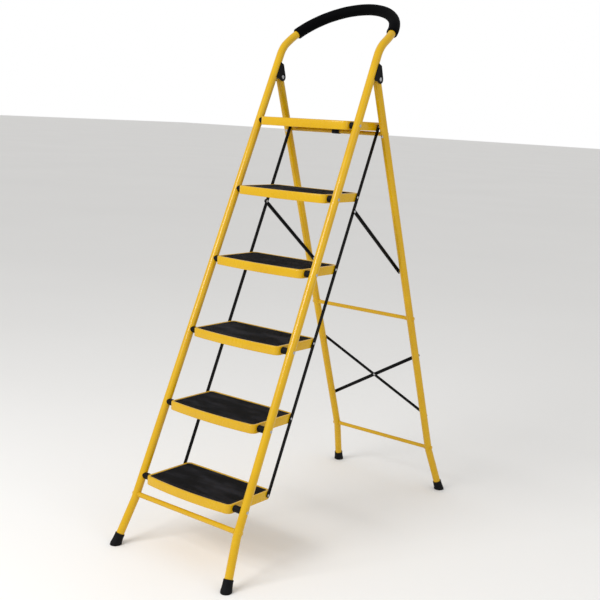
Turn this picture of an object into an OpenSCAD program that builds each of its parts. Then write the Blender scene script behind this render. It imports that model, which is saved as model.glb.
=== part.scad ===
// Folding six-step household stepladder, open: welded and riveted steel tube, pressed
// steel steps with rubber mats, flat drive bars and diagonal stays that fold it flat.
// Millimetres, +Z up. X is across the steps, the climber stands on the -Y side.

/* [Overall] */
// Rise from one step to the next
step_pitch = 235; // [200:1:260]
// Height of the lowest step's rail pivot above the floor
first_pivot_height = 224; // [212:1:245]
// Front-to-back distance between the tube centre lines at the floor
base_depth = 1245; // [1120:5:1290]
// Lean of the front rails from vertical, degrees
rail_lean = 22.7; // [21.5:0.1:23.6]
// Height of the hinge between the front and rear frames
hinge_height = 1552; // [1520:1:1700]
// Distance of the hinge pin behind the rail's centre line
hinge_offset = 31.5; // [30:0.5:38]

/* [Tubes] */
// Outside diameter of the rail, leg and handle tube
tube_d = 27; // [24:0.5:29]
// Wall of the rail, leg and handle tube
tube_wall = 1.2; // [1:0.1:2]
// Half width between the tube centre lines at the hinge
hinge_half = 207; // [203:1:230]
// Half width between the front tubes at their splay bend
front_bend_half = 225.5; // [220:0.5:245]
// Height of the front tubes' splay bend
front_bend_height = 150; // [110:1:160]
// Half width between the front tubes at the floor
front_foot_half = 247; // [236:1:280]
// Half width between the rear tubes at their splay bend
rear_bend_half = 220; // [214:0.5:245]
// Height of the rear tubes' splay bend
rear_bend_height = 173; // [120:1:178]
// Half width between the rear tubes at the floor
rear_foot_half = 246; // [236:1:280]
// Swell of the splay bends over the tube's radius
knuckle = 0.6; // [0.5:0.1:0.9]

/* [Handle] */
// Height of the virtual corner where the rail turns into the hoop
hoop_corner_height = 1655; // [1640:1:1760]
// Slope of the hoop above horizontal, degrees
hoop_slope = 35.8; // [20:0.5:50]
// Radius of the bend from the rail into the hoop
hoop_bend_r = 100; // [60:1:110]
// Straight run of the hoop between that bend and its half circle
hoop_straight = 14; // [8:1:40]
// Outside diameter of the foam sleeve
foam_d = 39; // [34:0.5:46]
// Angle of the hoop's half circle left bare below the foam, degrees
foam_start = 12; // [5:1:25]

/* [Steps] */
// Half width of a step across its side flanges
step_half = 185; // [170:1:187]
// Distance of a step's front edge ahead of its rail pivot
step_front = 27.5; // [25:0.5:36]
// Distance of a step's rear edge behind its rail pivot
step_rear = 177; // [171:1:190]
// Distance between a step's rail pivot and its drive bar rivet
step_reach = 156; // [150:0.5:160]
// Height of the step's rim above the pivot
step_rise = 14; // [12:0.5:20]
// Depth of the step's skirt below the pivot
step_drop = 14.5; // [13:0.5:16]
// Sheet thickness of the step
sheet = 1; // [0.8:0.1:1.6]
// Plan radius of the step's front corners
front_corner_r = 20; // [14:1:28]
// Bow of the step's front edge ahead of a straight line between its corners
front_bow = 10; // [5:1:14]
// Plan radius of the step's rear corners
rear_corner_r = 20; // [14:1:26]
// Width of the step's bare rim round the mat
rim_width = 10; // [8:0.5:14]
// Depth of the tread panel below the rim
tread_sink = 3.4; // [2.5:0.1:5]
// Thickness of the rubber mat
mat_thickness = 2.6; // [2:0.1:4]

/* [Bars and stays] */
// Width of the drive bars and diagonal stays
bar_width = 14; // [12:0.5:15]
// Thickness of the drive bars and diagonal stays
bar_thickness = 3; // [2:0.5:3.5]
// Distance of the stay's pivot below the fifth step's rivet, along the drive bar
stay_drop = 50; // [40:1:60]
// Distance of the stay's lower pivot from the hinge, along the rear leg
stay_foot = 704; // [690:1:715]
// Thickness of the rear frame's crossed braces
brace_thickness = 2.5; // [1.5:0.5:3]
// Width of the rear frame's crossed braces
brace_width = 13; // [10:0.5:15]
// Height of the crossed braces' upper ends on the rear legs
brace_top = 560; // [500:1:600]
// Height of the crossed braces' lower ends on the rear legs
brace_bottom = 312; // [260:1:380]

/* [Rungs] */
// Diameter of the front rung
front_rung_d = 17; // [14:0.5:19]
// Height of the front rung
front_rung_height = 164; // [150:1:176]
// Diameter of the rear rungs and of the top crossbar
rear_rung_d = 14.5; // [12:0.5:17]
// Height of the rear frame's upper rung
upper_rung_height = 714; // [640:1:760]
// Height of the rear frame's lower rung
lower_rung_height = 180; // [170:1:230]
// Distance of the top crossbar behind the rear legs' centre lines
crossbar_back = 12; // [11:0.5:14]

/* [Fittings] */
// Diameter of the step and drive bar rivets
rivet_d = 6; // [5:0.5:7]
// Diameter of the hinge pins
hinge_pin_d = 8; // [6:0.5:10]
// Radial running clearance of a rivet in a moving part
run_clear = 0.05; // [0.03:0.01:0.09]
// Diameter of the plastic bushes between rail and step
bush_d = 22; // [18:0.5:23]
// Plate thickness of the hinge brackets
bracket_plate = 2; // [1.5:0.5:2.5]
// Height of the rubber foot caps
foot_height = 40; // [34:1:50]
// Diameter of the foot caps where they meet the floor
foot_d = 37; // [35:0.5:44]
// Thickness of rubber under the tube ends
foot_sole = 9; // [6:1:14]

/* [Hidden] */
$fn = 48;
eps = 0.01;
tr = tube_d / 2;
ir = tr - tube_wall;
rr = rivet_d / 2;
hr = hinge_pin_d / 2;
// front rail plane: origin on the floor, local Y behind the rail, local Z up the rail
front_y = -base_depth / 2;
function rail_y(z) = front_y + z * tan(rail_lean);
function along(z) = z / cos(rail_lean);
hinge_u = (hinge_height + hinge_offset * sin(rail_lean)) / cos(rail_lean);
hinge_y = front_y + hinge_u * sin(rail_lean) + hinge_offset * cos(rail_lean);
leg_lean = atan((base_depth / 2 - hinge_y) / hinge_height);
function leg_y(z) = hinge_y + (hinge_height - z) * tan(leg_lean);
function down(z) = (hinge_height - z) / cos(leg_lean);
function rail_x(z) = hinge_half + (hinge_height - z) * (front_bend_half - hinge_half)
    / (hinge_height - front_bend_height);
function leg_x(z) = hinge_half + (hinge_height - z) * (rear_bend_half - hinge_half)
    / (hinge_height - rear_bend_height);
function pivot_z(k) = first_pivot_height + (k - 1) * step_pitch;
hoop_turn = 90 - rail_lean - hoop_slope;
hoop_u = along(hoop_corner_height) - hoop_bend_r * tan(hoop_turn / 2);
hoop_half = rail_x(hoop_u * cos(rail_lean));
// stack across X from the step flange outwards
flange_gap = 1.5;
flange_play = 0.3;
bar_in = step_half + flange_gap;
bar_out = bar_in + bar_thickness;
stay_gap = 2.5;
stay_in = bar_out + stay_gap;
stay_out = stay_in + bar_thickness;
head_h = 2;
head_gap = 0.2;
stay_z = pivot_z(5) - stay_drop * cos(rail_lean);
stay_y = rail_y(pivot_z(5)) + step_reach - stay_drop * sin(rail_lean);
stay_foot_y = hinge_y + stay_foot * sin(leg_lean);
stay_foot_z = hinge_height - stay_foot * cos(leg_lean);
stay_len = norm([stay_foot_y - stay_y, stay_foot_z - stay_z]);
stay_tilt = atan2(stay_foot_y - stay_y, stay_z - stay_foot_z);
// brackets
plate_half = tr + 0.8;
plate_top = 41;
plate_r = 14.5;
// crossbar height: its collar carries the top step's rear skirt
clip_wall = 1.6;
clip_r = rear_rung_d / 2 + clip_wall;
crossbar_z = pivot_z(6) - step_drop - clip_r - 0.6;
crossbar_s = (hinge_height - crossbar_z
    + crossbar_back * sin(leg_lean)) / cos(leg_lean);
crossbar_y = hinge_y + crossbar_back * cos(leg_lean) + crossbar_s * sin(leg_lean);
col_paint = [0.93, 0.72, 0.08];
col_black = [0.07, 0.07, 0.08];
col_steel = [0.75, 0.75, 0.77];

// ---------- helpers ----------
module left() {
    mirror([1, 0, 0]) children();
}
module in_rail() {
    translate([0, front_y, 0]) rotate([-rail_lean, 0, 0]) children();
}
module in_leg() {
    translate([0, hinge_y, hinge_height]) rotate([leg_lean, 0, 0]) children();
}
module along_x(x0, x1, r) {
    translate([x0, 0, 0]) rotate([0, 90, 0]) cylinder(h = x1 - x0, r = r);
}
module ring(r, bore) {
    difference() {
        circle(r = r);
        circle(r = bore);
    }
}
// straight rod in the local XZ plane, running past its ends by the given lengths
module rod(p0, p1, r, past0 = 0, past1 = 0) {
    translate([p0[0], 0, p0[1]]) rotate([0, atan2(p1[0] - p0[0], p1[1] - p0[1]), 0])
        translate([0, 0, -past0]) cylinder(h = norm(p1 - p0) + past0 + past1, r = r);
}
// tube bent once at p1; a short swollen collar joins its two straight lengths
module bent_tube(p0, p1, p2) {
    d1 = (p1 - p0) / norm(p1 - p0);
    d2 = (p2 - p1) / norm(p2 - p1);
    b = (d1 + d2) / norm(d1 + d2);
    difference() {
        union() {
            rod(p0, p1 - 2 * d1, tr);
            rod(p1 + 2 * d2, p2, tr);
            rod(p1 - 5 * b, p1 + 5 * b, tr + knuckle);
        }
        rod(p0, p1 - 3 * d1, ir, 1, 0);
        rod(p1 + 3 * d2, p2, ir, 0, 1);
        rod(p1 - 7 * b, p1 + 7 * b, ir - 0.7);
    }
}
module rivet_head(r, h) {
    rotate_extrude() intersection() {
        translate([0, -(r * r - h * h) / (2 * h)]) circle(r = (r * r + h * h) / (2 * h));
        square([r + 1, h + 1]);
    }
}
// rivet along +X from x0 to x1 with a domed head at each end
module rivet_x(x0, x1, r, head_r) {
    along_x(x0 - 0.3, x1 + 0.3, r);
    translate([x1, 0, 0]) rotate([0, 90, 0]) rivet_head(head_r, head_h);
    translate([x0, 0, 0]) rotate([0, -90, 0]) rivet_head(head_r, head_h);
}

// ---------- front frame ----------
rail_end = along(foot_sole) + 6;
rail_foot = [front_foot_half - (front_foot_half - front_bend_half) * rail_end
    / along(front_bend_height), rail_end];
rail_bend = [front_bend_half, along(front_bend_height)];
rail_top = [rail_x(hoop_u * cos(rail_lean)), hoop_u];
module rail_straight(r) {
    in_rail() rod(rail_bend, rail_top, r);
}
module rail() {
    color(col_paint) difference() {
        in_rail() bent_tube(rail_foot, rail_bend, rail_top);
        for (k = [1:6]) translate([0, rail_y(pivot_z(k)), pivot_z(k)])
            along_x(0, 400, rr);
        translate([0, rail_y(front_rung_height), front_rung_height])
            along_x(0, 400, front_rung_d / 2);
    }
}
// arc in the XZ plane of radius turn_r about the origin, from angle a0 to a1
module arc(turn_r, a0, a1, r, bore) {
    rotate([90, 0, 0]) rotate([0, 0, a0])
        rotate_extrude(angle = a1 - a0) translate([turn_r, 0]) ring(r, bore);
}
module in_hoop() {
    in_rail() translate([0, hoop_bend_r, hoop_u]) rotate([-hoop_turn, 0, 0])
        translate([0, -hoop_bend_r, 0]) children();
}
module handle_hoop() {
    color(col_paint) {
        in_hoop() translate([0, 0, hoop_straight])
            arc(hoop_half, 0, 180, tr, ir);
        for (m = [-1, 1]) in_hoop() translate([m * hoop_half, 0, 0])
            linear_extrude(height = hoop_straight) ring(tr, ir);
        for (m = [-1, 1]) in_rail() translate([m * hoop_half, hoop_bend_r, hoop_u])
            rotate([90, 0, -90]) rotate_extrude(angle = hoop_turn)
                translate([hoop_bend_r, 0]) ring(tr, ir);
        // weld bead that joins each bend to the half circle's straight run
        for (m = [-1, 1]) in_hoop() translate([m * hoop_half, 0, -1.5])
            linear_extrude(height = 3) ring(tr + 0.25, ir - 0.3);
    }
}
module foam_grip() {
    color(col_black) in_hoop() translate([0, 0, hoop_straight])
        arc(hoop_half, foam_start, 180 - foam_start, foam_d / 2, tr);
}
// rung pressed through the tubes on both sides, its ends swaged over outside them
module rung(y, z, half, r, out, head_r) {
    color(col_paint) translate([0, y, z]) {
        difference() {
            along_x(-half - tr - out, half + tr + out, r);
            along_x(-half, half, r - 1.2);
        }
        for (s = [-1, 1]) translate([s * (half + tr + out - 0.3), 0, 0])
            rotate([0, s * 90, 0]) rivet_head(head_r, out + 0.5);
    }
}
module front_rung() {
    rung(rail_y(front_rung_height), front_rung_height, rail_x(front_rung_height),
        front_rung_d / 2, 0.3, front_rung_d / 2 - 1);
}
module bracket_profile() {
    // side view: local X behind the rail's centre line, local Y up from the hinge pin
    tip = tr + bracket_plate + 1;
    dx = hinge_offset - tip;
    d = norm([dx, plate_top]);
    a = atan2(plate_top, -dx) - acos(plate_r / d);
    polygon(concat([[0, plate_top], [tip, plate_top]],
        [for (i = [0:10]) let (b = a - (a + 90) * i / 10)
            [hinge_offset + plate_r * cos(b), plate_r * sin(b)]],
        [[0, -plate_r]]));
}
module bracket_block(x0, x1) {
    in_rail() translate([x0, 0, hinge_u]) rotate([90, 0, 90])
        linear_extrude(height = x1 - x0) bracket_profile();
}
module hinge_bracket() {
    color(col_black) difference() {
        bracket_block(hinge_half - plate_half - bracket_plate,
            hinge_half + plate_half + bracket_plate);
        // room for the leg behind the web
        in_rail() translate([hinge_half - plate_half, tr + 2, hinge_u - 50])
            cube([2 * plate_half, 60, 120]);
        rail_straight(tr);
        in_rail() translate([0, hinge_offset, hinge_u]) along_x(0, 400, hr);
    }
}
module hinge_pins() {
    color(col_steel) for (s = [0, 1]) mirror([s, 0, 0])
        in_rail() translate([0, hinge_offset, hinge_u])
            rivet_x(hinge_half - plate_half - bracket_plate,
                hinge_half + plate_half + bracket_plate, hr, 6.5);
}
module step_bushes() {
    color(col_black) for (s = [0, 1]) mirror([s, 0, 0]) for (k = [1:6]) difference() {
        translate([0, rail_y(pivot_z(k)), pivot_z(k)])
            along_x(step_half + flange_play, rail_x(pivot_z(k)), bush_d / 2);
        translate([0, rail_y(pivot_z(k)), pivot_z(k)]) along_x(0, 400, rr);
        rail_straight(tr);
    }
}
module step_pins() {
    color(col_steel) for (s = [0, 1]) mirror([s, 0, 0]) for (k = [1:6])
        translate([0, rail_y(pivot_z(k)), pivot_z(k)])
            rivet_x(step_half - sheet - flange_play, rail_x(pivot_z(k)) + tr + head_gap,
                rr, 5);
}
// rubber cap: a slightly flared cup, cut flat at the floor
module cap_solid() {
    rotate_extrude() polygon([[0, -40], [foot_d / 2, -40], [foot_d / 2, 8],
        [foot_d / 2 - 1.2, 14], [tr + 2.2, foot_height - 1.5], [tr + 1.2, foot_height],
        [0, foot_height]]);
}
module foot_at(lean, x0, x1, dz) {
    rotate([-lean, 0, 0]) rotate([0, atan2(x1 - x0, dz), 0]) children();
}
module foot(y, lean, x0, x1, zb) {
    color(col_black) difference() {
        translate([x0, y, 0]) foot_at(lean, x0, x1, zb / cos(lean)) cap_solid();
        translate([x0, y, 0]) foot_at(lean, x0, x1, zb / cos(lean))
            translate([0, 0, rail_end]) cylinder(h = 100, r = tr);
        translate([-400, y - 100, -100]) cube([800, 200, 100]);
    }
}

// ---------- rear frame ----------
leg_bend = [rear_bend_half, -down(rear_bend_height)];
leg_foot = [rear_foot_half - (rear_foot_half - rear_bend_half) * rail_end
    / (down(0) - down(rear_bend_height)), rail_end - down(0)];
leg_top = [hinge_half - (rear_bend_half - hinge_half) * (tr + 2)
    / down(rear_bend_height), tr + 2];
module leg_straight(r) {
    in_leg() rod(leg_bend, leg_top, r);
}
module leg_end_cut() {
    // the top end is rounded about the hinge pin
    in_leg() difference() {
        translate([0, -60, 0]) cube([600, 120, 60]);
        along_x(-1, 601, tr + 0.5);
    }
}
module rear_leg() {
    color(col_paint) difference() {
        in_leg() bent_tube(leg_foot, leg_bend, leg_top);
        leg_end_cut();
        for (z = [upper_rung_height, lower_rung_height]) translate([0, leg_y(z), z])
            along_x(0, 400, rear_rung_d / 2);
        in_leg() along_x(0, 400, hr + run_clear);
        in_leg() translate([leg_x(brace_top), 0, -down(brace_top)])
            rotate([-90, 0, 0]) cylinder(h = 40, r = rr - 0.5);
        in_leg() translate([leg_x(brace_bottom), 0, -down(brace_bottom)])
            rotate([-90, 0, 0]) cylinder(h = 40, r = rr - 0.5);
        in_leg() translate([hinge_half, 0, -crossbar_s]) rotate([90, 0, 0])
            cylinder(h = 80, r = rr - 0.5, center = true);
        in_leg() translate([0, 0, -stay_foot]) along_x(0, leg_x(stay_foot_z), rr - 0.5);
    }
}
module rear_rung(z) {
    rung(leg_y(z), z, leg_x(z), rear_rung_d / 2, 1.5, rear_rung_d / 2 + 0.8);
}
module top_crossbar() {
    color(col_paint) difference() {
        in_leg() translate([0, crossbar_back, -crossbar_s]) difference() {
            along_x(-hinge_half - 6, hinge_half + 6, rear_rung_d / 2);
            along_x(-hinge_half + tr + 6, hinge_half - tr - 6, rear_rung_d / 2 - 1.2);
        }
        leg_straight(tr);
        left() leg_straight(tr);
        for (s = [0, 1]) mirror([s, 0, 0])
            in_leg() translate([hinge_half, 0, -crossbar_s]) rotate([90, 0, 0])
                cylinder(h = 80, r = rr - 0.5, center = true);
    }
}
module crossbar_rivets() {
    color(col_steel) for (s = [0, 1]) mirror([s, 0, 0])
        in_leg() translate([hinge_half, 0, -crossbar_s]) {
            y1 = crossbar_back + rear_rung_d / 2 + head_gap;
            y0 = -tr - head_gap;
            rotate([-90, 0, 0]) translate([0, 0, y0]) {
                translate([0, 0, -0.3]) cylinder(h = y1 - y0 + 0.6, r = rr - 0.5);
                translate([0, 0, y1 - y0]) rivet_head(4.6, head_h);
                rotate([180, 0, 0]) rivet_head(4.6, head_h);
            }
        }
}
module step_rest_clip() {
    // plastic collar with a pad that reaches up inside the rear skirt, under the tread
    pad_top = pivot_z(6) + step_rise - tread_sink - sheet - 0.5 - crossbar_z;
    pad_back = rail_y(pivot_z(6)) + step_rear - sheet - 0.6 - crossbar_y;
    color(col_black) in_leg() translate([0, crossbar_back, -crossbar_s])
        rotate([-leg_lean, 0, 0]) difference() {
            union() {
                along_x(-16, 16, clip_r);
                translate([-16, -clip_r + 0.4, 0])
                    cube([32, pad_back + clip_r - 0.4, pad_top]);
            }
            along_x(-17, 17, rear_rung_d / 2);
            translate([-17, -2.2, -20]) cube([34, 4.4, 20]);
        }
}
// the braces cross at this share of the way down the front one
brace_cross = leg_x(brace_top) / (leg_x(brace_top) + leg_x(brace_bottom));
brace_gap = 0.4;
module brace_bar(x0, z0, x1, z1, back, cross) {
    dx = x1 - x0;
    dz = down(z0) - down(z1);
    l = norm([dx, dz]);
    in_leg() translate([x0, tr + back, -down(z0)]) rotate([-90, 0, 0])
        rotate([0, 0, atan2(-dz, dx)]) difference() {
            linear_extrude(height = brace_thickness) {
                translate([0, -brace_width / 2]) square([l, brace_width]);
                circle(r = brace_width / 2);
                translate([l, 0]) circle(r = brace_width / 2);
            }
            for (p = [0, cross * l, l]) translate([p, 0, -1])
                cylinder(h = brace_thickness + 2, r = rr - 0.5);
        }
}
module cross_brace_front() {
    color(col_black) brace_bar(-leg_x(brace_top), brace_top, leg_x(brace_bottom),
        brace_bottom, 0, brace_cross);
}
module cross_brace_back() {
    color(col_black) brace_bar(-leg_x(brace_bottom), brace_bottom, leg_x(brace_top),
        brace_top, brace_thickness + brace_gap, 1 - brace_cross);
}
module cross_brace_rivets() {
    back = brace_thickness + brace_gap;
    cross_u = -down(brace_top) - brace_cross * (down(brace_bottom) - down(brace_top));
    color(col_steel) {
        brace_rivet(-leg_x(brace_top), -down(brace_top), 0);
        brace_rivet(leg_x(brace_bottom), -down(brace_bottom), 0);
        brace_rivet(-leg_x(brace_bottom), -down(brace_bottom), back);
        brace_rivet(leg_x(brace_top), -down(brace_top), back);
        in_leg() translate([0, tr, cross_u]) rotate([-90, 0, 0]) {
            translate([0, 0, -0.3]) cylinder(h = back + brace_thickness + 0.6, r = rr - 0.5);
            translate([0, 0, back + brace_thickness]) rivet_head(4.8, head_h);
            rotate([180, 0, 0]) rivet_head(4.8, head_h);
        }
    }
}
// rivet from a leg through a brace, over a spacer where the brace stands off the leg
module brace_rivet(x, u, back) {
    in_leg() translate([x, 0, u]) rotate([-90, 0, 0]) {
        translate([0, 0, tr - 6]) cylinder(h = 6.3 + back + brace_thickness, r = rr - 0.5);
        translate([0, 0, tr + back + brace_thickness]) rivet_head(4.8, head_h);
        if (back > 0) translate([0, 0, tr + 0.05]) cylinder(h = back - 0.05, r = 5);
    }
}
module stay_bosses() {
    color(col_steel) for (s = [0, 1]) mirror([s, 0, 0])
        in_leg() translate([0, 0, -stay_foot]) difference() {
            union() {
                along_x(stay_out + head_h + 0.5, leg_x(stay_foot_z) - 2, 5);
                along_x(leg_x(stay_foot_z) - tr, leg_x(stay_foot_z) - 4, rr - 0.5);
            }
            translate([0, 0, stay_foot]) rod(leg_bend, leg_top, tr);
        }
}

// ---------- steps ----------
// plan of a step, origin at the rail pivot, drawn smaller by an inset all round
module plan(inset) {
    fr = front_corner_r - inset;
    br = rear_corner_r - inset;
    w = step_half - inset;
    y0 = -step_front + inset;
    y1 = step_rear - inset;
    polygon([[-w + fr, y0], [w - fr, y0], [w, y0 + fr], [w, y1 - br], [w - br, y1],
        [-w + br, y1], [-w, y1 - br], [-w, y0 + fr]]);
    for (s = [-1, 1]) {
        translate([s * (w - fr), y0 + fr]) circle(r = fr);
        translate([s * (w - br), y1 - br]) circle(r = br);
    }
    // bowed front edge: a flat arc that ends just inside the corners
    xe = step_half - front_corner_r - 6;
    big_r = (xe * xe + front_bow * front_bow) / (2 * front_bow);
    intersection() {
        translate([0, -step_front + big_r - front_bow]) circle(r = big_r - inset, $fn = 720);
        translate([fr - w, y0 - front_bow - 1]) square([2 * (w - fr), front_bow + 8]);
    }
}
module slab(inset, z0, z1) {
    translate([0, 0, z0]) linear_extrude(height = z1 - z0) plan(inset);
}
module pan() {
    top = step_rise;
    panel = step_rise - tread_sink;
    difference() {
        slab(0, -step_drop, top);
        slab(rim_width, panel, top + 1);
        slab(sheet, -step_drop - 1, panel - sheet);
        // hollow under the folded rim
        difference() {
            slab(sheet, panel - sheet - 1, top - sheet);
            slab(rim_width - sheet, panel - sheet - 2, top);
        }
        along_x(-400, 400, rr + run_clear);
        translate([0, step_reach, 0]) along_x(-400, 400, rr + run_clear);
    }
}
module step_at(k) {
    translate([0, rail_y(pivot_z(k)), pivot_z(k)]) children();
}
module step(k) {
    color(col_paint) step_at(k) pan();
}
module mat(k) {
    color(col_black) step_at(k) difference() {
        slab(rim_width + 0.3, step_rise - tread_sink,
            step_rise - tread_sink + mat_thickness);
        // fine lengthwise grooves
        for (i = [0:22]) translate([-step_half + rim_width + 14, i * 8 - 10,
            step_rise - tread_sink + mat_thickness - 0.8])
            cube([2 * (step_half - rim_width - 14), 2.4, 2]);
    }
}

// ---------- drive bars and stays ----------
module bar_profile(l) {
    translate([-bar_width / 2, 0]) square([bar_width, l]);
    circle(r = bar_width / 2);
    translate([0, l]) circle(r = bar_width / 2);
}
module drive_bar() {
    l = (pivot_z(6) - pivot_z(1)) / cos(rail_lean);
    color(col_black) translate([bar_in, rail_y(pivot_z(1)) + step_reach, pivot_z(1)])
        rotate([-rail_lean, 0, 0]) rotate([90, 0, 90]) difference() {
            linear_extrude(height = bar_thickness) bar_profile(l);
            for (k = [0:5]) translate([0, k * step_pitch / cos(rail_lean), -1])
                cylinder(h = bar_thickness + 2, r = rr);
            translate([0, 4 * step_pitch / cos(rail_lean) - stay_drop, -1])
                cylinder(h = bar_thickness + 2, r = rr);
        }
}
module drive_rivets() {
    color(col_steel) {
        for (k = [1:6]) translate([0, rail_y(pivot_z(k)) + step_reach, pivot_z(k)]) {
            rivet_x(step_half - sheet - flange_play, bar_out, rr, 4.2);
            // shoulder that keeps the bar off the flange
            along_x(step_half + flange_play, bar_in, 5);
        }
        translate([0, stay_y, stay_z]) {
            along_x(bar_in - 0.3, stay_out + 0.6, rr);
            along_x(bar_out, stay_in - 0.3, 5.5);
            translate([stay_out + 0.3, 0, 0]) rotate([0, 90, 0]) rivet_head(4.8, head_h);
            // low inner head: the folded step passes close by
            translate([bar_in, 0, 0]) rotate([0, -90, 0]) rivet_head(4.8, 1);
        }
    }
}
module in_stay() {
    translate([0, stay_y, stay_z]) rotate([stay_tilt, 0, 0]) children();
}
module stay() {
    color(col_black) in_stay() translate([stay_in, 0, -stay_len]) rotate([90, 0, 90])
        difference() {
            linear_extrude(height = bar_thickness) bar_profile(stay_len);
            translate([0, stay_len, -1])
                cylinder(h = bar_thickness + 2, r = rr + run_clear);
            translate([0, 0, -1]) cylinder(h = bar_thickness + 2, r = rr);
        }
}
module stay_rivets() {
    color(col_steel) in_stay() translate([0, 0, -stay_len])
        rivet_x(stay_in, stay_out, rr, 5);
}

left() rail();  // rail_left
rail();  // rail_right
handle_hoop();
foam_grip();
front_rung();
left() hinge_bracket();  // hinge_bracket_left
hinge_bracket();  // hinge_bracket_right
hinge_pins();
step_bushes();
step_pins();
left() foot(front_y, rail_lean, front_foot_half, front_bend_half, front_bend_height);  // foot_front_left
foot(front_y, rail_lean, front_foot_half, front_bend_half, front_bend_height);  // foot_front_right
left() rear_leg();  // rear_leg_left
rear_leg();  // rear_leg_right
rear_rung(upper_rung_height);  // rear_rung_upper
rear_rung(lower_rung_height);  // rear_rung_lower
top_crossbar();
crossbar_rivets();
step_rest_clip();
cross_brace_front();
cross_brace_back();
cross_brace_rivets();
stay_bosses();
left() foot(-front_y, -leg_lean, rear_foot_half, rear_bend_half, rear_bend_height);  // foot_rear_left
foot(-front_y, -leg_lean, rear_foot_half, rear_bend_half, rear_bend_height);  // foot_rear_right
step(1);  // step_1
step(2);  // step_2
step(3);  // step_3
step(4);  // step_4
step(5);  // step_5
step(6);  // step_6
mat(1);  // mat_1
mat(2);  // mat_2
mat(3);  // mat_3
mat(4);  // mat_4
mat(5);  // mat_5
mat(6);  // mat_6
left() drive_bar();  // drive_bar_left
drive_bar();  // drive_bar_right
left() drive_rivets();  // drive_rivets_left
drive_rivets();  // drive_rivets_right
left() stay();  // stay_left
stay();  // stay_right
left() stay_rivets();  // stay_rivets_left
stay_rivets();  // stay_rivets_right
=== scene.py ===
import math

import bpy
from mathutils import Matrix, Vector, noise


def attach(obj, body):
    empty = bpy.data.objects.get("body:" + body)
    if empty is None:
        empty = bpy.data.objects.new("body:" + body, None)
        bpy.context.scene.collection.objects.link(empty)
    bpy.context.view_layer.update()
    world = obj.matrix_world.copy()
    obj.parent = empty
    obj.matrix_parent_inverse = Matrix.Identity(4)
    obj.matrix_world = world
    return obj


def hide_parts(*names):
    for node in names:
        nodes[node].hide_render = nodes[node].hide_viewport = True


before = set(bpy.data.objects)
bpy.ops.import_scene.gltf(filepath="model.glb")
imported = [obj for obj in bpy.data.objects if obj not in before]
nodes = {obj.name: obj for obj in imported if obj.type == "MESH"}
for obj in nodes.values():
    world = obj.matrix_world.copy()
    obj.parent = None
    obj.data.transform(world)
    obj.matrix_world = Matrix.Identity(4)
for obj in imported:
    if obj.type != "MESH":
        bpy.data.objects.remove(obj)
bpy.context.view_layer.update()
MM = 0.001

# ---------- sizes shared with the steel frame, in millimetres ----------
STEP_PITCH = 235.0
FIRST_PIVOT = 224.0
BASE_DEPTH = 1245.0
RAIL_LEAN = math.radians(22.7)
HINGE_HEIGHT = 1552.0
HINGE_OFFSET = 31.5
TUBE_R = 13.5
HINGE_HALF = 207.0
FRONT_BEND_HALF, FRONT_BEND_HEIGHT, FRONT_FOOT_HALF = 225.5, 150.0, 247.0
REAR_BEND_HALF, REAR_BEND_HEIGHT, REAR_FOOT_HALF = 220.0, 173.0, 246.0
HOOP_CORNER, HOOP_SLOPE, HOOP_BEND_R, HOOP_STRAIGHT = 1655.0, math.radians(35.8), 100.0, 14.0
FOAM_R, FOAM_START, END_ROUND = 19.5, math.radians(12.0), 5.0
STEP_HALF, STEP_FRONT, STEP_REAR = 185.0, 27.5, 177.0
STEP_RISE, STEP_DROP, SHEET = 14.0, 14.5, 1.0
FRONT_CORNER, REAR_CORNER, FRONT_BOW, RIM = 20.0, 20.0, 10.0, 10.0
TREAD_SINK, MAT_THICKNESS, MAT_BORDER, RIB_PITCH = 3.4, 2.6, 9.0, 6.0
FOOT_SOLE = 9.0
FRONT_RUNG_R, FRONT_RUNG_HEIGHT = 8.5, 164.0
REAR_RUNG_R, UPPER_RUNG, LOWER_RUNG = 7.25, 714.0, 180.0

FRONT_Y = -BASE_DEPTH / 2
SIN_F, COS_F = math.sin(RAIL_LEAN), math.cos(RAIL_LEAN)
HINGE_U = (HINGE_HEIGHT + HINGE_OFFSET * SIN_F) / COS_F
HINGE_Y = FRONT_Y + HINGE_U * SIN_F + HINGE_OFFSET * COS_F
LEG_LEAN = math.atan((BASE_DEPTH / 2 - HINGE_Y) / HINGE_HEIGHT)
SIN_R, COS_R = math.sin(LEG_LEAN), math.cos(LEG_LEAN)
HOOP_TURN = math.pi / 2 - RAIL_LEAN - HOOP_SLOPE
HOOP_U = HOOP_CORNER / COS_F - HOOP_BEND_R * math.tan(HOOP_TURN / 2)


def rail_x(z):
    """Half width of the front tubes at a height."""
    spread = (FRONT_BEND_HALF - HINGE_HALF) / (HINGE_HEIGHT - FRONT_BEND_HEIGHT)
    return HINGE_HALF + (HINGE_HEIGHT - z) * spread


def leg_x(z):
    """Half width of the rear tubes at a height."""
    spread = (REAR_BEND_HALF - HINGE_HALF) / (HINGE_HEIGHT - REAR_BEND_HEIGHT)
    return HINGE_HALF + (HINGE_HEIGHT - z) * spread


HOOP_HALF = rail_x(HOOP_U * COS_F)


def rail_y(z):
    return FRONT_Y + z * math.tan(RAIL_LEAN)


def leg_y(z):
    return HINGE_Y + (HINGE_HEIGHT - z) * math.tan(LEG_LEAN)


def pivot_z(k):
    return FIRST_PIVOT + (k - 1) * STEP_PITCH


def on_rail(x, behind, along):
    """Point given across, behind and along the front rails."""
    return Vector((x, FRONT_Y + behind * COS_F + along * SIN_F,
                   -behind * SIN_F + along * COS_F)) * MM


def on_leg(x, behind, down):
    """Point given across, behind and down the rear legs from the hinge."""
    return Vector((x, HINGE_Y + behind * COS_R + down * SIN_R,
                   HINGE_HEIGHT + behind * SIN_R - down * COS_R)) * MM


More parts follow.
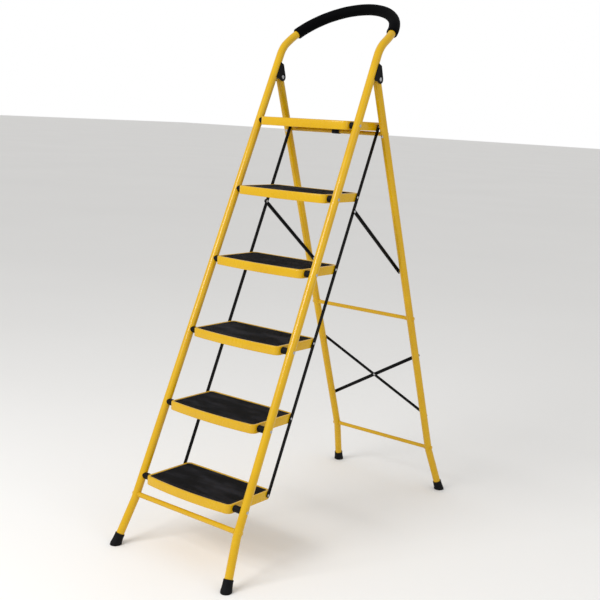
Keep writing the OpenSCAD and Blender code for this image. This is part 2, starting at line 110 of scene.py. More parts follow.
# ---------- materials ----------
def linear(hex_colour):
    """sRGB hex to linear RGBA."""
    out = []
    for i in (1, 3, 5):
        c = int(hex_colour[i:i + 2], 16) / 255
        out.append(c / 12.92 if c <= 0.04045 else ((c + 0.055) / 1.055) ** 2.4)
    return (*out, 1.0)


def add(tree, kind, settings=None, links=None):
    """Adds one node: settings go to its sockets or properties, links join its inputs."""
    node = tree.nodes.new(kind)
    for key, value in (settings or {}).items():
        if isinstance(key, int) or key in node.inputs:
            node.inputs[key].default_value = value
        else:
            setattr(node, key, value)
    for key, source in (links or {}).items():
        tree.links.new(source, node.inputs[key])
    return node


def per_metre(size_mm):
    """Texture scale for a feature of this size."""
    return 1000.0 / size_mm


def new_material(name):
    material = bpy.data.materials.new(name)
    material.use_nodes = True
    tree = material.node_tree
    tree.nodes.clear()
    place = add(tree, "ShaderNodeTexCoord").outputs["Object"]
    return material, tree, place


def finish_material(tree, surface):
    add(tree, "ShaderNodeOutputMaterial", links={"Surface": surface.outputs[0]})


def powder_coat(name, main, deep, rough=0.26):
    """Powder-coated steel tube and sheet: a thick even paint with faint orange peel,
    a little deeper in tone where it pooled, and rubbed dull in places."""
    material, tree, place = new_material(name)
    pooled = add(tree, "ShaderNodeTexNoise", {"Scale": per_metre(90), "Detail": 3.0},
                 {"Vector": place})
    tone = add(tree, "ShaderNodeMapRange", {"From Min": 0.35, "From Max": 0.7,
               "To Min": 0.0, "To Max": 0.45}, {"Value": pooled.outputs[0]})
    colour = add(tree, "ShaderNodeMix", {"data_type": "RGBA", 6: linear(main), 7: linear(deep)},
                 {0: tone.outputs[0]})
    specks = add(tree, "ShaderNodeTexVoronoi", {"Scale": per_metre(7)}, {"Vector": place})
    speck_mask = add(tree, "ShaderNodeMapRange", {"From Min": 0.02, "From Max": 0.07,
                     "To Min": 0.35, "To Max": 0.0}, {"Value": specks.outputs["Distance"]})
    marked = add(tree, "ShaderNodeMix", {"data_type": "RGBA", 7: linear("#8a5a12")},
                 {0: speck_mask.outputs[0], 6: colour.outputs[2]})
    rub = add(tree, "ShaderNodeTexNoise", {"Scale": per_metre(35), "Detail": 6.0,
              "Roughness": 0.65}, {"Vector": place})
    roughness = add(tree, "ShaderNodeMapRange", {"From Min": 0.3, "From Max": 0.75,
                    "To Min": rough - 0.07, "To Max": rough + 0.12},
                    {"Value": rub.outputs[0]})
    # orange peel, drawn at about 2.5 mm so that it shows
    peel = add(tree, "ShaderNodeTexNoise", {"Scale": per_metre(2.5), "Detail": 2.0},
               {"Vector": place})
    bump = add(tree, "ShaderNodeBump", {"Strength": 0.12, "Distance": 0.0004},
               {"Height": peel.outputs[0]})
    paint = add(tree, "ShaderNodeBsdfPrincipled", {"IOR": 1.5, "Coat Weight": 0.3,
                "Coat Roughness": 0.1, "Specular IOR Level": 0.25},
                {"Base Color": marked.outputs[2], "Roughness": roughness.outputs[0],
                 "Normal": bump.outputs[0]})
    finish_material(tree, paint)
    return material


def black_enamel(name):
    """Stoved black enamel on flat bar: nearly black, semi-gloss, with a film of pale dust."""
    material, tree, place = new_material(name)
    film = add(tree, "ShaderNodeTexNoise", {"Scale": per_metre(22), "Detail": 5.0},
               {"Vector": place})
    dust = add(tree, "ShaderNodeMapRange", {"From Min": 0.45, "From Max": 0.8,
               "To Min": 0.0, "To Max": 0.3}, {"Value": film.outputs[0]})
    colour = add(tree, "ShaderNodeMix", {"data_type": "RGBA", 6: linear("#020203"),
                 7: linear("#0a0a0b")}, {0: dust.outputs[0]})
    roughness = add(tree, "ShaderNodeMapRange", {"From Min": 0.3, "From Max": 0.8,
                    "To Min": 0.34, "To Max": 0.55}, {"Value": film.outputs[0]})
    peel = add(tree, "ShaderNodeTexNoise", {"Scale": per_metre(1.8), "Detail": 2.0},
               {"Vector": place})
    bump = add(tree, "ShaderNodeBump", {"Strength": 0.15, "Distance": 0.0003},
               {"Height": peel.outputs[0]})
    paint = add(tree, "ShaderNodeBsdfPrincipled", {"IOR": 1.5, "Specular IOR Level": 0.1},
                {"Base Color": colour.outputs[2], "Roughness": roughness.outputs[0],
                 "Normal": bump.outputs[0]})
    finish_material(tree, paint)
    return material


def tread_rubber(name):
    """Moulded rubber mat: black, finely pebbled, streaked grey partly by scuffs and dust where
    shoes land and partly by painted reflection of the soft light on the rubber.
    """
    material, tree, place = new_material(name)
    stretched = add(tree, "ShaderNodeMapping", {"Scale": (0.55, 1.6, 1.0)}, {"Vector": place})
    # grey streaks, stretched one way: part scuffs and dust, part painted reflection of the soft
    # light on the rubber
    scuff_and_reflection = add(tree, "ShaderNodeTexNoise", {"Scale": per_metre(75), "Detail": 7.0,
                "Roughness": 0.6}, {"Vector": stretched.outputs[0]})
    dust_and_reflection_mask = add(tree, "ShaderNodeMapRange", {"From Min": 0.46, "From Max": 0.72,
               "To Min": 0.0, "To Max": 0.75}, {"Value": scuff_and_reflection.outputs[0]})
    grit = add(tree, "ShaderNodeTexNoise", {"Scale": per_metre(1.6), "Detail": 3.0},
               {"Vector": place})
    gritty_dust_and_reflection = add(tree, "ShaderNodeMath", {"operation": "MULTIPLY"},
                 {0: dust_and_reflection_mask.outputs[0], 1: grit.outputs[0]})
    # the mat greys toward #45454c in the streaks: dust plus painted reflection
    colour = add(tree, "ShaderNodeMix", {"data_type": "RGBA", 6: linear("#060608"),
                 7: linear("#45454c")}, {0: gritty_dust_and_reflection.outputs[0]})
    roughness = add(tree, "ShaderNodeMapRange", {"From Min": 0.2, "From Max": 0.8,
                    "To Min": 0.6, "To Max": 0.82}, {"Value": scuff_and_reflection.outputs[0]})
    # pebble of about 1.5 mm
    pebble = add(tree, "ShaderNodeTexVoronoi", {"Scale": per_metre(1.5)}, {"Vector": place})
    bump = add(tree, "ShaderNodeBump", {"Strength": 0.35, "Distance": 0.0004},
               {"Height": pebble.outputs["Distance"]})
    rubber = add(tree, "ShaderNodeBsdfPrincipled", {"IOR": 1.5, "Specular IOR Level": 0.1},
                 {"Base Color": colour.outputs[2], "Roughness": roughness.outputs[0],
                  "Normal": bump.outputs[0]})
    finish_material(tree, rubber)
    return material


def foam_rubber(name):
    """Closed-cell foam sleeve: matt black with a soft bloom, tiny cells and hand polish."""
    material, tree, place = new_material(name)
    polish = add(tree, "ShaderNodeTexNoise", {"Scale": per_metre(60), "Detail": 5.0},
                 {"Vector": place})
    bloom = add(tree, "ShaderNodeMapRange", {"From Min": 0.4, "From Max": 0.75,
                "To Min": 0.0, "To Max": 0.6}, {"Value": polish.outputs[0]})
    colour = add(tree, "ShaderNodeMix", {"data_type": "RGBA", 6: linear("#030304"),
                 7: linear("#0b0c0f")}, {0: bloom.outputs[0]})
    roughness = add(tree, "ShaderNodeMapRange", {"From Min": 0.3, "From Max": 0.75,
                    "To Min": 0.62, "To Max": 0.85}, {"Value": polish.outputs[0]})
    # cells of under a millimetre, drawn at 1.4 mm so that they show
    cells = add(tree, "ShaderNodeTexVoronoi", {"Scale": per_metre(1.4)}, {"Vector": place})
    creases = add(tree, "ShaderNodeTexNoise", {"Scale": per_metre(14), "Detail": 4.0},
                  {"Vector": place})
    relief = add(tree, "ShaderNodeMath", {"operation": "MULTIPLY_ADD", 1: 0.25},
                 {0: cells.outputs["Distance"], 2: creases.outputs[0]})
    bump = add(tree, "ShaderNodeBump", {"Strength": 0.3, "Distance": 0.0012},
               {"Height": relief.outputs[0]})
    foam = add(tree, "ShaderNodeBsdfPrincipled", {"IOR": 1.45, "Specular IOR Level": 0.05,
               "Sheen Weight": 0.0, "Sheen Roughness": 0.5},
               {"Base Color": colour.outputs[2], "Roughness": roughness.outputs[0],
                "Normal": bump.outputs[0]})
    finish_material(tree, foam)
    return material


def moulded(name, dark, light, rough, grain_mm, bump_mm):
    """Moulded black rubber or nylon: a fine tool grain,
    greyed by dust and a little rougher in random patches."""
    material, tree, place = new_material(name)
    haze = add(tree, "ShaderNodeTexNoise", {"Scale": per_metre(12), "Detail": 5.0},
               {"Vector": place})
    dusty = add(tree, "ShaderNodeMapRange", {"From Min": 0.4, "From Max": 0.75,
                "To Min": 0.0, "To Max": 0.7}, {"Value": haze.outputs[0]})
    colour = add(tree, "ShaderNodeMix", {"data_type": "RGBA", 6: linear(dark),
                 7: linear(light)}, {0: dusty.outputs[0]})
    roughness = add(tree, "ShaderNodeMapRange", {"From Min": 0.3, "From Max": 0.75,
                    "To Min": rough - 0.06, "To Max": rough + 0.1},
                    {"Value": haze.outputs[0]})
    grain = add(tree, "ShaderNodeTexNoise", {"Scale": per_metre(grain_mm), "Detail": 3.0},
                {"Vector": place})
    bump = add(tree, "ShaderNodeBump", {"Strength": 0.25, "Distance": bump_mm * MM},
               {"Height": grain.outputs[0]})
    body = add(tree, "ShaderNodeBsdfPrincipled", {"IOR": 1.5, "Specular IOR Level": 0.12},
               {"Base Color": colour.outputs[2], "Roughness": roughness.outputs[0],
                "Normal": bump.outputs[0]})
    finish_material(tree, body)
    return material


def zinc_plate(name):
    """Bright zinc-plated rivet: metal with a cloudy passivated skin and fine turning marks."""
    material, tree, place = new_material(name)
    cloud = add(tree, "ShaderNodeTexNoise", {"Scale": per_metre(3), "Detail": 4.0},
                {"Vector": place})
    colour = add(tree, "ShaderNodeMix", {"data_type": "RGBA", 6: linear("#c9cbcf"),
                 7: linear("#8f9194")}, {0: cloud.outputs[0]})
    roughness = add(tree, "ShaderNodeMapRange", {"From Min": 0.3, "From Max": 0.7,
                    "To Min": 0.24, "To Max": 0.42}, {"Value": cloud.outputs[0]})
    marks = add(tree, "ShaderNodeTexNoise", {"Scale": per_metre(0.8), "Detail": 2.0},
                {"Vector": place})
    bump = add(tree, "ShaderNodeBump", {"Strength": 0.2, "Distance": 0.0002},
               {"Height": marks.outputs[0]})
    metal = add(tree, "ShaderNodeBsdfPrincipled", {"Metallic": 1.0},
                {"Base Color": colour.outputs[2], "Roughness": roughness.outputs[0],
                 "Normal": bump.outputs[0]})
    finish_material(tree, metal)
    return material


def studio_floor(name):
    """Matt off-white floor sheet with a barely uneven tone."""
    material, tree, place = new_material(name)
    tone = add(tree, "ShaderNodeTexNoise", {"Scale": 0.5, "Detail": 2.0}, {"Vector": place})
    colour = add(tree, "ShaderNodeMix", {"data_type": "RGBA", 6: linear("#fbfaf8"),
                 7: linear("#f6f5f3")}, {0: tone.outputs[0]})
    sheet = add(tree, "ShaderNodeBsdfPrincipled", {"Roughness": 0.85,
                "Specular IOR Level": 0.1}, {"Base Color": colour.outputs[2]})
    finish_material(tree, sheet)
    return material


YELLOW = powder_coat("yellow_powder_coat", "#d6a904", "#c79603")
BLACK = black_enamel("black_enamel")
TREAD = tread_rubber("tread_rubber")
FOAM = foam_rubber("foam_sleeve")
FOOT = moulded("foot_rubber", "#07080a", "#15161a", 0.6, 0.9, 0.3)
NYLON = moulded("black_nylon", "#070709", "#141416", 0.45, 0.7, 0.15)
ZINC = zinc_plate("zinc_plate")


# ---------- mesh helpers ----------
def make_piece(name, verts, faces, material, body, stands_for=(), sharp=35):
    """Makes a smooth-shaded piece that rides on a body and stands for CAD nodes."""
    mesh = bpy.data.meshes.new(name)
    mesh.from_pydata([tuple(v) for v in verts], [], faces)
    mesh.validate()
    mesh.materials.append(material)
    mesh.shade_smooth()
    mesh.set_sharp_from_angle(angle=math.radians(sharp))
    piece = bpy.data.objects.new(name, mesh)
    bpy.context.scene.collection.objects.link(piece)
    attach(piece, body)
    for node in stands_for:
        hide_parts(node)
    return piece


def rounded_path(corners, radii, steps=10):
    """Polyline through corners, each inner corner rounded to its bend radius."""
    path = [corners[0]]
    for i in range(1, len(corners) - 1):
        before = (corners[i - 1] - corners[i]).normalized()
        after = (corners[i + 1] - corners[i]).normalized()
        half = before.angle(after) / 2
        reach = radii[i - 1] / math.tan(half)
        start, end = corners[i] + before * reach, corners[i] + after * reach
        centre = corners[i] + (before + after).normalized() * (radii[i - 1] / math.sin(half))
        for s in range(steps + 1):
            chord = start.lerp(end, s / steps)
            path.append(centre + (chord - centre).normalized() * radii[i - 1])
    path.append(corners[-1])
    return path


def ring_faces(rings, around, inside_out=False, caps=True):
    """Faces that join rings of points one to the next and close the two end rings."""
    faces = []
    for i in range(rings - 1):
        for j in range(around):
            k = (j + 1) % around
            faces.append((i * around + j, i * around + k, (i + 1) * around + k,
                          (i + 1) * around + j))
    if caps:
        last = (rings - 1) * around
        faces.append(tuple(range(around - 1, -1, -1)))
        faces.append(tuple(range(last, last + around)))
    return [tuple(reversed(f)) for f in faces] if inside_out else faces


def sweep(path, radii, around=32):
    """Closed tube skin round a path: vertices and faces, radius given per point."""
    verts = []
    tangent = (path[1] - path[0]).normalized()
    side = tangent.orthogonal().normalized()
    for i, point in enumerate(path):
        ahead = path[min(i + 1, len(path) - 1)]
        behind = path[max(i - 1, 0)]
        if (ahead - behind).length > 1e-9:
            tangent = (ahead - behind).normalized()
        side = (side - tangent * side.dot(tangent)).normalized()
        up = tangent.cross(side)
        for j in range(around):
            a = 2 * math.pi * j / around
            verts.append(point + (side * math.cos(a) + up * math.sin(a)) * radii[i])
    return verts, ring_faces(len(path), around)


def lathe(origin, axis, profile, around=40):
    """Turned form: profile of (radius, distance along axis), closed at both ends."""
    path = [origin + axis * d for _, d in profile]
    verts = []
    side = axis.orthogonal().normalized()
    up = axis.cross(side)
    for (r, _), point in zip(profile, path):
        for j in range(around):
            a = 2 * math.pi * j / around
            verts.append(point + (side * math.cos(a) + up * math.sin(a)) * r)
    return verts, ring_faces(len(profile), around)


def mirrored(verts, faces):
    """The same skin on the other side of the ladder."""
    return [Vector((-v.x, v.y, v.z)) for v in verts], [tuple(reversed(f)) for f in faces]


# ---------- tubes ----------
TUBE_BOTTOM = FOOT_SOLE / COS_F + 6


def front_rail_corners():
    """Foot end, splay bend and top of the right-hand rail."""
    bend_u = FRONT_BEND_HEIGHT / COS_F
    foot_x = FRONT_FOOT_HALF - (FRONT_FOOT_HALF - FRONT_BEND_HALF) * TUBE_BOTTOM / bend_u
    return [on_rail(foot_x, 0, TUBE_BOTTOM), on_rail(FRONT_BEND_HALF, 0, bend_u),
            on_rail(HOOP_HALF, 0, HOOP_U)]


def hoop_point(angle, radius=None):
    """Point of the handle's half circle, 0 at the right-hand end."""
    r = HOOP_HALF if radius is None else radius
    run = HOOP_STRAIGHT + r * math.sin(angle)
    behind = HOOP_BEND_R * (1 - math.cos(HOOP_TURN)) + run * math.sin(HOOP_TURN)
    along = HOOP_U + HOOP_BEND_R * math.sin(HOOP_TURN) + run * math.cos(HOOP_TURN)
    return on_rail(r * math.cos(angle), behind, along)


def front_tube():
    """Both rails and the handle hoop, bent from one length of tube."""
    rail = rounded_path(front_rail_corners(), [70 * MM])
    bend = [on_rail(HOOP_HALF, HOOP_BEND_R * (1 - math.cos(t)),
                    HOOP_U + HOOP_BEND_R * math.sin(t))
            for t in [HOOP_TURN * i / 10 for i in range(1, 11)]]
    hoop = [hoop_point(math.pi * i / 60) for i in range(31)]
    right = rail + bend + hoop
    left_half = [Vector((-p.x, p.y, p.z)) for p in reversed(right[:-1])]
    path = right + left_half
    verts, faces = sweep(path, [TUBE_R * MM] * len(path), around=40)
    make_piece("front_tube", verts, faces, YELLOW, "front_frame",
               ["rail_left", "rail_right", "handle_hoop"])


def rear_tubes():
    """Rear legs, splayed near the floor and rounded over inside the hinge brackets."""
    down_bend = (HINGE_HEIGHT - REAR_BEND_HEIGHT) / COS_R
    down_floor = HINGE_HEIGHT / COS_R
    foot_x = REAR_FOOT_HALF - (REAR_FOOT_HALF - REAR_BEND_HALF) * TUBE_BOTTOM / (
        down_floor - down_bend)
    corners = [on_leg(foot_x, 0, down_floor - TUBE_BOTTOM),
               on_leg(REAR_BEND_HALF, 0, down_bend), on_leg(HINGE_HALF, 0, 0)]
    path = rounded_path(corners, [70 * MM])
    radii = [TUBE_R * MM] * len(path)
    upward = (path[-1] - path[-2]).normalized()
    for i in range(1, 9):
        a = math.radians(90 * i / 8)
        path.append(corners[-1] + upward * TUBE_R * MM * math.sin(a))
        radii.append(max(TUBE_R * MM * math.cos(a), 0.0004))
    verts, faces = sweep(path, radii, around=36)
    make_piece("rear_tube_right", verts, faces, YELLOW, "rear_frame",
               ["rear_leg_right"])
    verts, faces = mirrored(verts, faces)
    make_piece("rear_tube_left", verts, faces, YELLOW, "rear_frame",
               ["rear_leg_left"])


def rung(name, y, z, half, r, body, node):
    """Rung pressed through both tubes: beaded against their inner sides, swaged outside
    on the rear legs and finished nearly flush on the front rails."""
    end = half + TUBE_R
    if node == "front_rung":
        side = [(0.6, end + 0.7), (r * 0.5, end + 0.6), (r * 0.8, end + 0.3), (r, end - 0.8)]
    else:
        side = [(0.6, end + 3.0), (r * 0.55, end + 2.8), (r * 0.85, end + 2.2),
                (r + 0.6, end + 1.4), (r + 0.8, end + 0.4), (r + 0.4, end - 0.6),
                (r, end - 1.6)]
    side += [(r, half - TUBE_R + 2.0), (r + 1.3, half - TUBE_R + 0.4),
            (r + 1.7, half - TUBE_R - 1.0), (r + 1.3, half - TUBE_R - 2.2),
            (r, half - TUBE_R - 3.6), (r, half - TUBE_R - 30)]
    profile = [(a * MM, -d * MM) for a, d in side] + [(a * MM, d * MM) for a, d in reversed(side)]
    verts, faces = lathe(Vector((0, y, z)) * MM, Vector((1, 0, 0)), profile)
    make_piece(name, verts, faces, YELLOW, body, [node])


def foam_sleeve():
    """Foam sleeve drawn round the hoop: thick walled, softly uneven, ends rounded."""
    count, around = 120, 40
    verts = []
    sweep_angle = math.pi - 2 * FOAM_START
    rings = []
    inner, outer = TUBE_R + 0.05, FOAM_R - 0.35
    for i in range(count + 1):
        t = i / count
        edge = min(t, 1 - t) * sweep_angle * HOOP_HALF
        inset = max(0.0, 1 - edge / END_ROUND)
        round_off = math.sqrt(1 - inset ** 2)
        rings.append((FOAM_START + sweep_angle * t,
                      inner + (outer - inner) * (0.35 + 0.65 * round_off)))
    for angle, r in rings:
        centre = hoop_point(angle)
        out = (centre - hoop_point(angle, HOOP_HALF - 1)).normalized()
        tangent = (hoop_point(angle + 0.01) - hoop_point(angle - 0.01)).normalized()
        up = tangent.cross(out)
        for j in range(around):
            a = 2 * math.pi * j / around
            way = out * math.cos(a) + up * math.sin(a)
            spot = centre + way * r * MM
            swell = 0.32 * noise.noise(spot * 28) + 0.16 * noise.noise(spot * 75)
            verts.append(centre + way * (r + swell) * MM)
    faces = ring_faces(count + 1, around, caps=False)
    # end rings turn in to the tube
    for ring, angle in ((0, rings[0][0]), (count, rings[-1][0])):
        base = len(verts)
        centre = hoop_point(angle)
        for j in range(around):
            way = (verts[ring * around + j] - centre).normalized()
            verts.append(centre + way * (TUBE_R - 0.4) * MM)
        for j in range(around):
            k = (j + 1) % around
            quad = (ring * around + j, base + j, base + k, ring * around + k)
            faces.append(quad if ring == 0 else tuple(reversed(quad)))
    piece = make_piece("foam_sleeve", verts, faces, FOAM, "front_frame", ["foam_grip"], 60)


# ---------- foot caps ----------
def foot_cap(name, bottom, direction, node, body, flip):
    """Rubber cap: flared skirt with a rolled foot, ribbed collar, cut flat on the floor."""
    profile = [(0.5, 0), (15.8, 0), (17.6, 0.6), (18.2, 2.0), (18.4, 4.5), (18.3, 7.5),
               (17.9, 9.6), (17.4, 12.0), (17.1, 13.5), (16.8, 18.0), (16.4, 24.0),
               (16.0, 30.0), (15.8, 32.0), (15.8, 33.2), (16.1, 33.9), (16.2, 36.0),
               (16.0, 38.0), (15.4, 39.3), (14.7, 39.9), (14.0, 39.6), (13.0, 38.0)]
    verts, faces = lathe(bottom, direction, [(r * MM, d * MM) for r, d in profile], 48)
    around = 48
    flat = []
    for i, v in enumerate(verts):
        ring = i // around
        if ring <= 7:
            # the sole is cut level: lower rings slide along the tube to meet the floor
            share = 1 - min(1.0, profile[ring][1] / 13.0)
            level = profile[ring][1] * MM * direction.z
            v = v + direction * ((level - v.z) / direction.z) * share
        flat.append(v)
    if flip:
        flat, faces = mirrored(flat, faces)
    make_piece(name, flat, faces, FOOT, body, [node], 50)


def foot_caps():
    bend_u = FRONT_BEND_HEIGHT / COS_F
    front_bottom = on_rail(FRONT_FOOT_HALF, 0, 0)
    front_way = (on_rail(FRONT_BEND_HALF, 0, bend_u) - front_bottom).normalized()
    down_floor = HINGE_HEIGHT / COS_R
    rear_bottom = on_leg(REAR_FOOT_HALF, 0, down_floor)
    rear_way = (on_leg(REAR_BEND_HALF, 0, (HINGE_HEIGHT - REAR_BEND_HEIGHT) / COS_R)
                - rear_bottom).normalized()
    for end, bottom, way in (("front", front_bottom, front_way),
                             ("rear", rear_bottom, rear_way)):
        for side in ("right", "left"):
            foot_cap("foot_cap_%s_%s" % (end, side), bottom, way, "foot_%s_%s" % (end, side),
                     end + "_frame", side == "left")


# ---------- steps ----------
def step_outline(inset):
    """Plan of a step, drawn smaller by an inset, always with the same number of points."""
    fr, br = max(FRONT_CORNER - inset, 1.0), max(REAR_CORNER - inset, 1.0)
    w, y0, y1 = STEP_HALF - inset, -STEP_FRONT + inset, STEP_REAR - inset
    end = STEP_HALF - FRONT_CORNER
    big = (end * end + FRONT_BOW * FRONT_BOW) / (2 * FRONT_BOW)
    points = []
    for i in range(25):
        x = (-1 + 2 * i / 24) * (w - fr)
        points.append((x, y0 - FRONT_BOW + big - math.sqrt(big * big - x * x)))
    for i in range(1, 9):
        a = math.radians(-90 + 90 * i / 8)
        points.append((w - fr + fr * math.cos(a), y0 + fr + fr * math.sin(a)))
    for i in range(1, 7):
        points.append((w, y0 + fr + (y1 - br - y0 - fr) * i / 7))
    for i in range(9):
        a = math.radians(90 * i / 8)
        points.append((w - br + br * math.cos(a), y1 - br + br * math.sin(a)))
    for i in range(1, 12):
        points.append(((w - br) * (1 - 2 * i / 12), y1))
    for i in range(9):
        a = math.radians(90 + 90 * i / 8)
        points.append((-w + br + br * math.cos(a), y1 - br + br * math.sin(a)))
    for i in range(1, 7):
        points.append((-w, y1 - br - (y1 - br - y0 - fr) * i / 7))
    for i in range(8):
        a = math.radians(180 + 90 * i / 8)
        points.append((-w + fr + fr * math.cos(a), y0 + fr + fr * math.sin(a)))
    return points


def step_skin(k, rings, inside_out):
    """Skin of step k through rings of (inset from the outline, height over the pivot)."""
    verts = []
    for inset, z in rings:
        outline = step_outline(inset)
        verts += [Vector((x, rail_y(pivot_z(k)) + y, pivot_z(k) + z)) * MM for x, y in outline]
    return verts, ring_faces(len(rings), len(outline), inside_out)


def pressed_step(k):
    """Pressed sheet tread: sunk panel, rolled rim, deep skirt with a turned hem."""
    panel = STEP_RISE - TREAD_SINK
    rings = [(RIM + 3.0, panel), (RIM + 0.6, panel), (RIM - 0.2, panel + 0.5),
             (RIM - 0.7, STEP_RISE - 1.0), (RIM - 1.3, STEP_RISE - 0.3),
             (RIM - 2.4, STEP_RISE), (4.2, STEP_RISE), (2.6, STEP_RISE - 0.25),
             (1.3, STEP_RISE - 1.0), (0.45, STEP_RISE - 2.2), (0.05, STEP_RISE - 4.0),
             (0.0, 0.0), (0.0, -STEP_DROP + 2.0), (0.25, -STEP_DROP + 0.7),
             (0.9, -STEP_DROP), (1.7, -STEP_DROP + 0.4), (2.1, -STEP_DROP + 1.6),
             (1.6, -STEP_DROP + 2.6), (1.0, -STEP_DROP + 3.2), (1.0, 0.0),
             (1.1, panel - 3.0), (2.4, panel - 1.5), (5.0, panel - SHEET),
             (RIM + 3.0, panel - SHEET)]
    verts, faces = step_skin(k, rings, True)
    make_piece("pressed_step_%d" % k, verts, faces, YELLOW, "step_%d_body" % k,
               ["step_%d" % k], 50)


def tread_mat(k):
    """Rubber mat bonded into the tread: smooth border round fine lengthwise ribs."""
    low = STEP_RISE - TREAD_SINK + 0.02
    top = low + MAT_THICKNESS
    edge = RIM + MAT_BORDER
    rings = [(RIM + 0.35, low), (RIM + 0.35, top - 0.9), (RIM + 0.7, top - 0.25),
             (RIM + 1.5, top), (edge, top), (edge + 0.5, top - 0.7)]
    verts, faces = step_skin(k, rings, False)
    # ribs run across the climber's way, one rib pitch apart
    y0, y1 = -STEP_FRONT + edge + 2, STEP_REAR - edge - 2
    reach = STEP_HALF - edge - 3 - max(0.0, REAR_CORNER - edge)
    section = ((-1.9, -0.75), (-1.35, -0.1), (-0.9, 0.0), (0.9, 0.0), (1.35, -0.1), (1.9, -0.75))
    rows = int((y1 - y0) / RIB_PITCH)
    for r in range(rows):
        y = rail_y(pivot_z(k)) + y0 + (y1 - y0) * (r + 0.5) / rows
        a = len(verts)
        for x in (-reach, reach):
            verts += [Vector((x, y + dy, pivot_z(k) + top + dz)) * MM for dy, dz in section]
        for s in range(5):
            faces.append((a + s, a + 6 + s, a + 7 + s, a + 1 + s))
        faces.append((a + 5, a + 11, a + 6, a))
        faces.append(tuple(range(a, a + 6)))
        faces.append(tuple(range(a + 11, a + 5, -1)))
    make_piece("tread_mat_%d" % k, verts, faces, TREAD, "step_%d_body" % k,
               ["mat_%d" % k], 40)


# ---------- carried-over steel parts ----------
def dress(node, material, bevel_mm=0.0):
    """Gives a CAD node its finish, with its sharp edges eased where they catch light."""
    thing = nodes[node]
    thing.data.materials.clear()
    thing.data.materials.append(material)
    if bevel_mm:
        weld = thing.modifiers.new("weld", "WELD")
        weld.merge_threshold = 0.00001
        ease = thing.modifiers.new("ease", "BEVEL")
        ease.width = bevel_mm * MM
        ease.segments = 2
        ease.limit_method = "ANGLE"
        ease.angle_limit = math.radians(50)
        ease.harden_normals = False


def dress_all():
    for side in ("left", "right"):
        dress("hinge_bracket_" + side, BLACK, 0.5)
        dress("drive_bar_" + side, BLACK, 0.5)
        dress("stay_" + side, BLACK, 0.5)
        dress("drive_rivets_" + side, ZINC)
        dress("stay_rivets_" + side, ZINC)
    for node in ("hinge_pins", "step_pins", "crossbar_rivets", "cross_brace_rivets",
                 "stay_bosses"):
        dress(node, ZINC)
    for node in ("cross_brace_front", "cross_brace_back"):
        dress(node, BLACK, 0.4)
    dress("step_bushes", NYLON)
    dress("step_rest_clip", NYLON, 0.4)
    dress("top_crossbar", YELLOW)
    for node, material in (("rail_left", YELLOW), ("rail_right", YELLOW), ("handle_hoop", YELLOW),
                           ("front_rung", YELLOW), ("rear_leg_left", YELLOW),
                           ("rear_leg_right", YELLOW), ("rear_rung_upper", YELLOW),
                           ("rear_rung_lower", YELLOW), ("foam_grip", FOAM)):
        dress(node, material)
    for k in range(1, 7):
        dress("step_%d" % k, YELLOW)
        dress("mat_%d" % k, TREAD)
    for end in ("front", "rear"):
        for side in ("left", "right"):
            dress("foot_%s_%s" % (end, side), FOOT)


# ---------- studio ----------
def build_camera():
    """Camera from the climber's front right, level with the top step, slightly rolled."""
    turn, drop, roll = math.radians(37.90), math.radians(10.24), math.radians(3.055)
    forward = Vector((-math.sin(turn) * math.cos(drop), math.cos(turn) * math.cos(drop),
                      -math.sin(drop)))
    right = Vector((math.cos(turn), math.sin(turn), 0))
    up = right.cross(forward)
    across = right * math.cos(roll) + up * math.sin(roll)
    upward = up * math.cos(roll) - right * math.sin(roll)
    lens = bpy.data.cameras.new("studio_camera")
    lens.sensor_width = 36.0
    lens.lens = 61.15
    camera = bpy.data.objects.new("studio_camera", lens)
    bpy.context.scene.collection.objects.link(camera)
    turn_matrix = Matrix((across, upward, -forward)).transposed().to_4x4()
    camera.matrix_world = Matrix.Translation((2.1408, -2.7698, 1.4218)) @ turn_matrix
    bpy.context.scene.camera = camera


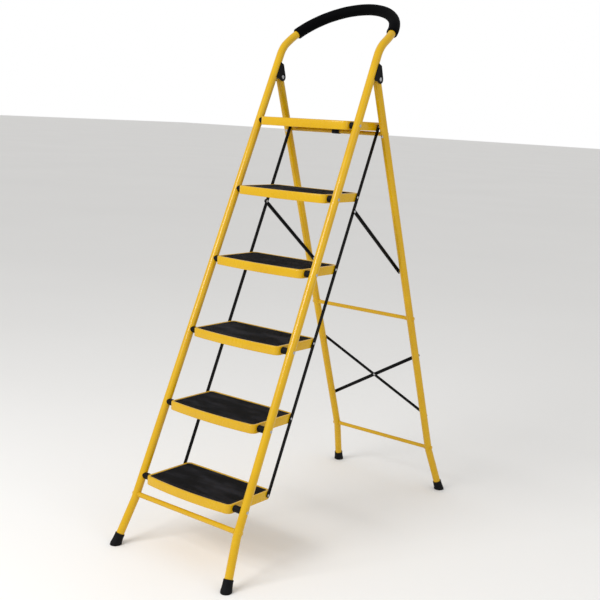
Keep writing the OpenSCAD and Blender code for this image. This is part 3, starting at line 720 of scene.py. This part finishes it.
def soft_light(name, spot, aim, size, power, tint="#ffffff"):
    """Large soft box at a place, turned to face another."""
    box = bpy.data.lights.new(name, "AREA")
    box.shape = "RECTANGLE"
    box.size, box.size_y = size
    box.energy = power
    box.color = linear(tint)[:3]
    lamp = bpy.data.objects.new(name, box)
    lamp.location = spot
    way = Vector(aim) - Vector(spot)
    lamp.rotation_euler = way.to_track_quat("-Z", "Y").to_euler()
    bpy.context.scene.collection.objects.link(lamp)


def build_studio():
    world = bpy.data.worlds.new("studio_air")
    world.use_nodes = True
    tree = world.node_tree
    tree.nodes.clear()
    seen = add(tree, "ShaderNodeLightPath").outputs["Is Camera Ray"]
    strength = add(tree, "ShaderNodeMapRange", {"To Min": 0.68, "To Max": 1.0},
                   {"Value": seen})
    air = add(tree, "ShaderNodeBackground", {"Color": linear("#ffffff")},
              {"Strength": strength.outputs[0]})
    add(tree, "ShaderNodeOutputWorld", links={"Surface": air.outputs[0]})
    bpy.context.scene.world = world
    bpy.context.scene.view_settings.view_transform = "Standard"
    mesh = bpy.data.meshes.new("studio_floor")
    half = 80.0
    mesh.from_pydata([(-half, -half, 0), (half, -half, 0), (half, half, 0), (-half, half, 0)],
                     [], [(0, 1, 2, 3)])
    mesh.materials.append(studio_floor("studio_floor"))
    floor = bpy.data.objects.new("studio_floor", mesh)
    bpy.context.scene.collection.objects.link(floor)
    soft_light("key_box", (-0.6, -3.4, 3.0), (0, -0.2, 0.8), (2.0, 1.4), 84)
    soft_light("fill_box", (3.4, -0.6, 2.2), (0, 0, 0.8), (2.0, 2.0), 12)


dress_all()
front_tube()
rear_tubes()
foam_sleeve()
rung("front_rung_tube", rail_y(FRONT_RUNG_HEIGHT), FRONT_RUNG_HEIGHT, rail_x(FRONT_RUNG_HEIGHT),
     FRONT_RUNG_R, "front_frame", "front_rung")
for level, height in (("upper", UPPER_RUNG), ("lower", LOWER_RUNG)):
    rung("rear_rung_tube_" + level, leg_y(height), height, leg_x(height), REAR_RUNG_R,
         "rear_frame", "rear_rung_" + level)
foot_caps()
for k in range(1, 7):
    pressed_step(k)
    tread_mat(k)
build_camera()
build_studio()
